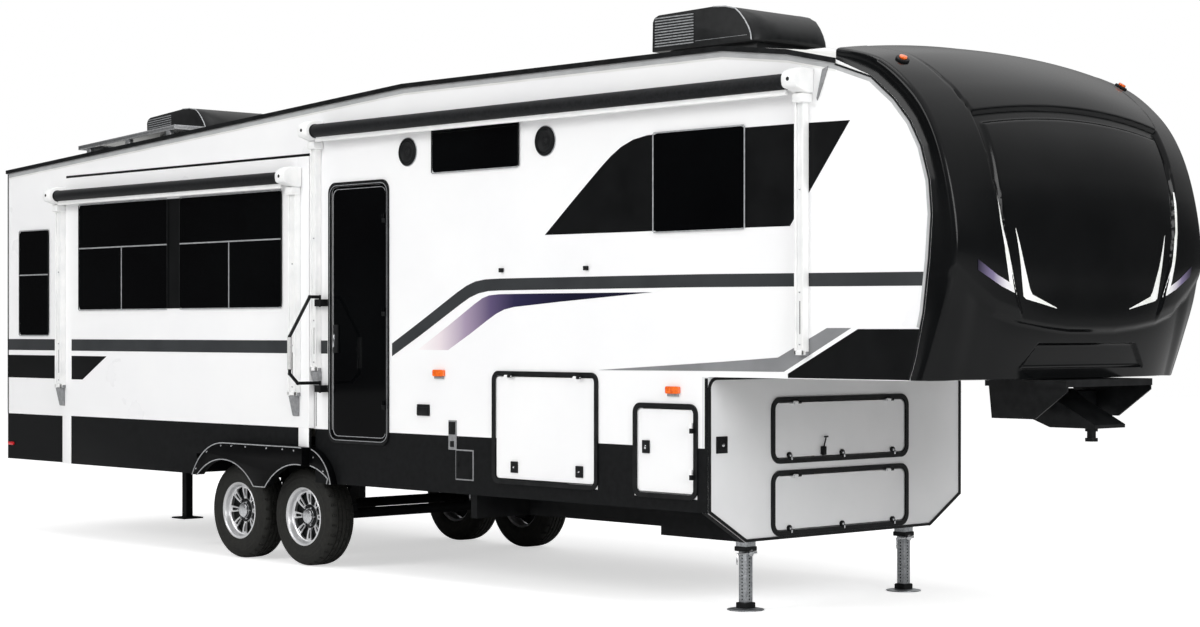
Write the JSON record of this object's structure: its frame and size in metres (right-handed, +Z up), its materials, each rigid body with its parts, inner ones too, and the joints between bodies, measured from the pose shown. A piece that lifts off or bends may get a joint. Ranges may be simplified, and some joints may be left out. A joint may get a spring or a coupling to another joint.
{
  "type": "fifth wheel travel trailer",
  "caption": "White fifth wheel travel trailer with a rounded black front cap, raised bedroom, slide-out rooms, entry door, awnings and tandem wheels.",
  "frame": {"origin": "on the ground, midway between the rear bumper and the nose of the front cap, and on the middle plane of the body", "axes": "+X forward to the front cap, +Y to the off side, -Y to the curb side with the entry door, +Z up"},
  "size_m": [10.436, 2.986, 3.8205],
  "materials": {
    "frame_steel": "satin black chassis paint",
    "floor": "sealed underbelly",
    "wall_white": "gloss white fibreglass skin",
    "panel_grey": "light grey fibreglass panel",
    "cap_black": "gloss black gel coat",
    "roof_white": "matt white roof membrane",
    "black_trim": "black trim",
    "skirt_black": "black skirt metal",
    "tinted_glass": "dark tinted safety glass",
    "alloy": "machined aluminium",
    "zinc": "zinc plated steel",
    "tyre": "tyre rubber",
    "amber_lens": "amber lens",
    "red_lens": "red lens",
    "white_metal": "white powder coat"
  },
  "bodies": {
    "trailer": {"chassis": "frame_steel", "axles": "frame_steel", "floor_pan": "floor", "wall_curb": "wall_white", "wall_off": "wall_white", "wall_rear": "wall_white", "front_box": "panel_grey", "front_cap": "cap_black", "roof": "roof_white", "roof_rails": "black_trim", "skirts": "skirt_black", "window_panes": "tinted_glass", "air_conditioners": "black_trim", "solar_panel": "tinted_glass", "roof_vents": "white_metal", "patio_awning": "white_metal", "pin_box": "frame_steel", "landing_legs": "zinc", "stabilizers": "frame_steel", "wall_fenders": "black_trim", "door_frames": "black_trim", "marker_lamps": "amber_lens", "tail_lamps": "red_lens", "ladder": "alloy"},
    "entry_door": {"entry_door": "black_trim"},
    "baggage_door_large": {"baggage_door_large": "wall_white"},
    "baggage_door_small": {"baggage_door_small": "wall_white"},
    "storage_door_upper": {"storage_door_upper": "panel_grey"},
    "storage_door_lower": {"storage_door_lower": "panel_grey"},
    "slide_curb": {"slide_curb_box": "wall_white", "slide_curb_glass": "tinted_glass", "slide_curb_awning": "white_metal", "slide_curb_skirt": "skirt_black"},
    "slide_off": {"slide_off_box": "wall_white", "slide_off_glass": "tinted_glass", "slide_off_awning": "white_metal"},
    "assist_handle": {"assist_handle": "black_trim"},
    "wheel_fr": {"tyre_fr": "tyre", "rim_fr": "alloy"},
    "wheel_rr": {"tyre_rr": "tyre", "rim_rr": "alloy"},
    "wheel_fl": {"tyre_fl": "tyre", "rim_fl": "alloy"},
    "wheel_rl": {"tyre_rl": "tyre", "rim_rl": "alloy"}
  },
  "joints": [
    {"name": "entry_door_hinge", "type": "hinge", "parent": "trailer", "child": "entry_door", "pos_m": [0.1355, -1.25, 0.955], "axis": [0, 0, 1], "range_deg": [0, 170]},
    {"name": "baggage_large_hinge", "type": "hinge", "parent": "trailer", "child": "baggage_door_large", "pos_m": [1.773, -1.25, 1.4195], "axis": [-1, 0, 0], "range_deg": [0, 170]},
    {"name": "baggage_small_hinge", "type": "hinge", "parent": "trailer", "child": "baggage_door_small", "pos_m": [3.1145, -1.25, 0.732], "axis": [0, 0, 1], "range_deg": [0, 170]},
    {"name": "storage_upper_hinge", "type": "hinge", "parent": "trailer", "child": "storage_door_upper", "pos_m": [3.26, 0, 1.2735], "axis": [0, -1, 0], "range_deg": [0, 85]},
    {"name": "storage_lower_hinge", "type": "hinge", "parent": "trailer", "child": "storage_door_lower", "pos_m": [3.26, 0, 0.8205], "axis": [0, -1, 0], "range_deg": [0, 85]},
    {"name": "assist_handle_pivot", "type": "hinge", "parent": "trailer", "child": "assist_handle", "pos_m": [-0.573, -1.265, 1.302], "axis": [0, 0, -1], "range_deg": [-88, 0]},
    {"name": "slide_curb_travel", "type": "slide", "parent": "trailer", "child": "slide_curb", "axis": [0, -1, 0], "range_m": [0, 0.6]},
    {"name": "slide_off_travel", "type": "slide", "parent": "trailer", "child": "slide_off", "axis": [0, 1, 0], "range_m": [0, 0.6]},
    {"name": "wheel_fr_spin", "type": "hinge", "parent": "trailer", "child": "wheel_fr", "pos_m": [-0.92, -1.055, 0.36], "axis": [0, 1, 0], "continuous": true},
    {"name": "wheel_rr_spin", "type": "hinge", "parent": "trailer", "child": "wheel_rr", "pos_m": [-1.735, -1.055, 0.36], "axis": [0, 1, 0], "continuous": true},
    {"name": "wheel_fl_spin", "type": "hinge", "parent": "trailer", "child": "wheel_fl", "pos_m": [-0.92, 1.055, 0.36], "axis": [0, 1, 0], "continuous": true},
    {"name": "wheel_rl_spin", "type": "hinge", "parent": "trailer", "child": "wheel_rl", "pos_m": [-1.735, 1.055, 0.36], "axis": [0, 1, 0], "continuous": true}
  ]
}
